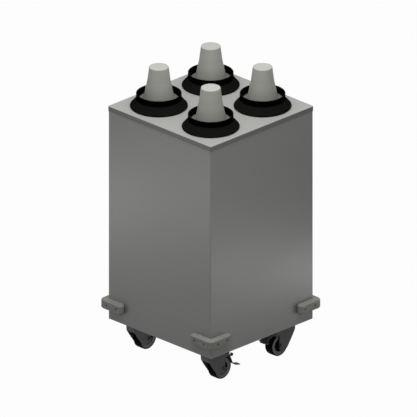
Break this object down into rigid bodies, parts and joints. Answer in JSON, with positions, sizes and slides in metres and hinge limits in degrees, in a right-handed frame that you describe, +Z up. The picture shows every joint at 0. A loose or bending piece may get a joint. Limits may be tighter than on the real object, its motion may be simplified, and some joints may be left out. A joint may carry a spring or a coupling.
{
  "type": "mobile cup dispenser",
  "caption": "Square steel cabinet on swivel casters with sprung cup wells in its deck, black guide collars and corner bumpers; carriers sink, cups lift, casters turn and brakes lock.",
  "frame": {"origin": "centre of the footprint on the floor", "axes": "+Z up, -Y the front, +X to the right as seen from the front"},
  "size_m": [0.5352, 0.5352, 1.0516],
  "materials": {
    "brushed_stainless": "brushed, satin",
    "galvanised_steel": "bright, plain",
    "zinc_hardware": "zinc plated, dull",
    "black_abs": "moulded, fine texture",
    "cup_plastic": "moulded, satin",
    "grey_bumper": "moulded, satin",
    "black_rubber": "moulded, matte",
    "grey_nylon": "moulded, satin",
    "spring_steel": "drawn wire"
  },
  "bodies": {
    "cabinet": {"wrapper": "brushed_stainless", "rear_panel": "brushed_stainless", "top_deck": "brushed_stainless", "base_pan": "galvanised_steel", "caster_channels": "galvanised_steel", "corner_posts": "galvanised_steel", "locating_shelf": "galvanised_steel", "rear_panel_screws": "zinc_hardware", "flange_screws": "zinc_hardware", "bumper_screws": "zinc_hardware", "caster_bolts": "zinc_hardware", "kingpins": "zinc_hardware", "swivel_balls": "spring_steel", "tube_front_left": "brushed_stainless", "tube_front_right": "brushed_stainless", "tube_rear_left": "brushed_stainless", "tube_rear_right": "brushed_stainless", "collar_front_left": "black_abs", "collar_front_right": "black_abs", "collar_rear_left": "black_abs", "collar_rear_right": "black_abs", "springs_front_left": "spring_steel", "springs_front_right": "spring_steel", "springs_rear_left": "spring_steel", "springs_rear_right": "spring_steel", "bumper_front_left": "grey_bumper", "bumper_front_right": "grey_bumper", "bumper_rear_left": "grey_bumper", "bumper_rear_right": "grey_bumper", "caster_plate_front_left": "zinc_hardware", "caster_plate_front_right": "zinc_hardware", "caster_plate_rear_left": "zinc_hardware", "caster_plate_rear_right": "zinc_hardware"},
    "carrier_front_left": {"carrier_front_left": "brushed_stainless"},
    "cup_front_left": {"cup_front_left": "cup_plastic"},
    "swivel_front_left": {"fork_front_left": "zinc_hardware", "fork_bolts_front_left": "zinc_hardware"},
    "wheel_front_left": {"tyre_front_left": "black_rubber", "wheel_core_front_left": "grey_nylon"},
    "carrier_front_right": {"carrier_front_right": "brushed_stainless"},
    "cup_front_right": {"cup_front_right": "cup_plastic"},
    "swivel_front_right": {"fork_front_right": "zinc_hardware", "fork_bolts_front_right": "zinc_hardware"},
    "wheel_front_right": {"tyre_front_right": "black_rubber", "wheel_core_front_right": "grey_nylon"},
    "brake_front_right": {"brake_lever_front_right": "zinc_hardware"},
    "carrier_rear_left": {"carrier_rear_left": "brushed_stainless"},
    "cup_rear_left": {"cup_rear_left": "cup_plastic"},
    "swivel_rear_left": {"fork_rear_left": "zinc_hardware", "fork_bolts_rear_left": "zinc_hardware"},
    "wheel_rear_left": {"tyre_rear_left": "black_rubber", "wheel_core_rear_left": "grey_nylon"},
    "carrier_rear_right": {"carrier_rear_right": "brushed_stainless"},
    "cup_rear_right": {"cup_rear_right": "cup_plastic"},
    "swivel_rear_right": {"fork_rear_right": "zinc_hardware", "fork_bolts_rear_right": "zinc_hardware"},
    "wheel_rear_right": {"tyre_rear_right": "black_rubber", "wheel_core_rear_right": "grey_nylon"},
    "brake_rear_right": {"brake_lever_rear_right": "zinc_hardware"}
  },
  "joints": [
    {"name": "carrier_slide_front_left", "type": "slide", "parent": "cabinet", "child": "carrier_front_left", "axis": [0, 0, 1], "range_m": [-0.45, 0], "stiffness_N_per_m": 90, "springref_m": 0.3, "deforming": ["springs_front_left"]},
    {"name": "cup_lift_front_left", "type": "slide", "parent": "carrier_front_left", "child": "cup_front_left", "axis": [0, 0, 1], "range_m": [0, 0.15]},
    {"name": "carrier_slide_front_right", "type": "slide", "parent": "cabinet", "child": "carrier_front_right", "axis": [0, 0, 1], "range_m": [-0.45, 0], "stiffness_N_per_m": 90, "springref_m": 0.3, "deforming": ["springs_front_right"]},
    {"name": "cup_lift_front_right", "type": "slide", "parent": "carrier_front_right", "child": "cup_front_right", "axis": [0, 0, 1], "range_m": [0, 0.15]},
    {"name": "carrier_slide_rear_left", "type": "slide", "parent": "cabinet", "child": "carrier_rear_left", "axis": [0, 0, 1], "range_m": [-0.45, 0], "stiffness_N_per_m": 90, "springref_m": 0.3, "deforming": ["springs_rear_left"]},
    {"name": "cup_lift_rear_left", "type": "slide", "parent": "carrier_rear_left", "child": "cup_rear_left", "axis": [0, 0, 1], "range_m": [0, 0.15]},
    {"name": "carrier_slide_rear_right", "type": "slide", "parent": "cabinet", "child": "carrier_rear_right", "axis": [0, 0, 1], "range_m": [-0.45, 0], "stiffness_N_per_m": 90, "springref_m": 0.3, "deforming": ["springs_rear_right"]},
    {"name": "cup_lift_rear_right", "type": "slide", "parent": "carrier_rear_right", "child": "cup_rear_right", "axis": [0, 0, 1], "range_m": [0, 0.15]},
    {"name": "swivel_front_left", "type": "hinge", "parent": "cabinet", "child": "swivel_front_left", "pos_m": [-0.1785, -0.1785, 0.1], "axis": [0, 0, 1], "continuous": true},
    {"name": "wheel_spin_front_left", "type": "hinge", "parent": "swivel_front_left", "child": "wheel_front_left", "pos_m": [-0.1785, -0.1365, 0.04], "axis": [1, 0, 0], "continuous": true},
    {"name": "swivel_front_right", "type": "hinge", "parent": "cabinet", "child": "swivel_front_right", "pos_m": [0.1785, -0.1785, 0.1], "axis": [0, 0, 1], "continuous": true},
    {"name": "wheel_spin_front_right", "type": "hinge", "parent": "swivel_front_right", "child": "wheel_front_right", "pos_m": [0.1785, -0.1365, 0.04], "axis": [1, 0, 0], "continuous": true},
    {"name": "swivel_rear_left", "type": "hinge", "parent": "cabinet", "child": "swivel_rear_left", "pos_m": [-0.1785, 0.1785, 0.1], "axis": [0, 0, 1], "continuous": true},
    {"name": "wheel_spin_rear_left", "type": "hinge", "parent": "swivel_rear_left", "child": "wheel_rear_left", "pos_m": [-0.1785, 0.1365, 0.04], "axis": [1, 0, 0], "continuous": true},
    {"name": "swivel_rear_right", "type": "hinge", "parent": "cabinet", "child": "swivel_rear_right", "pos_m": [0.1785, 0.1785, 0.1], "axis": [0, 0, 1], "continuous": true},
    {"name": "wheel_spin_rear_right", "type": "hinge", "parent": "swivel_rear_right", "child": "wheel_rear_right", "pos_m": [0.1785, 0.1365, 0.04], "axis": [1, 0, 0], "continuous": true},
    {"name": "brake_front_right", "type": "hinge", "parent": "swivel_front_right", "child": "brake_front_right", "pos_m": [0.1785, -0.11775, 0.08689], "axis": [1, 0, 0], "range_deg": [0, 37]},
    {"name": "brake_rear_right", "type": "hinge", "parent": "swivel_rear_right", "child": "brake_rear_right", "pos_m": [0.1785, 0.11775, 0.08689], "axis": [1, 0, 0], "range_deg": [0, 37]}
  ]
}
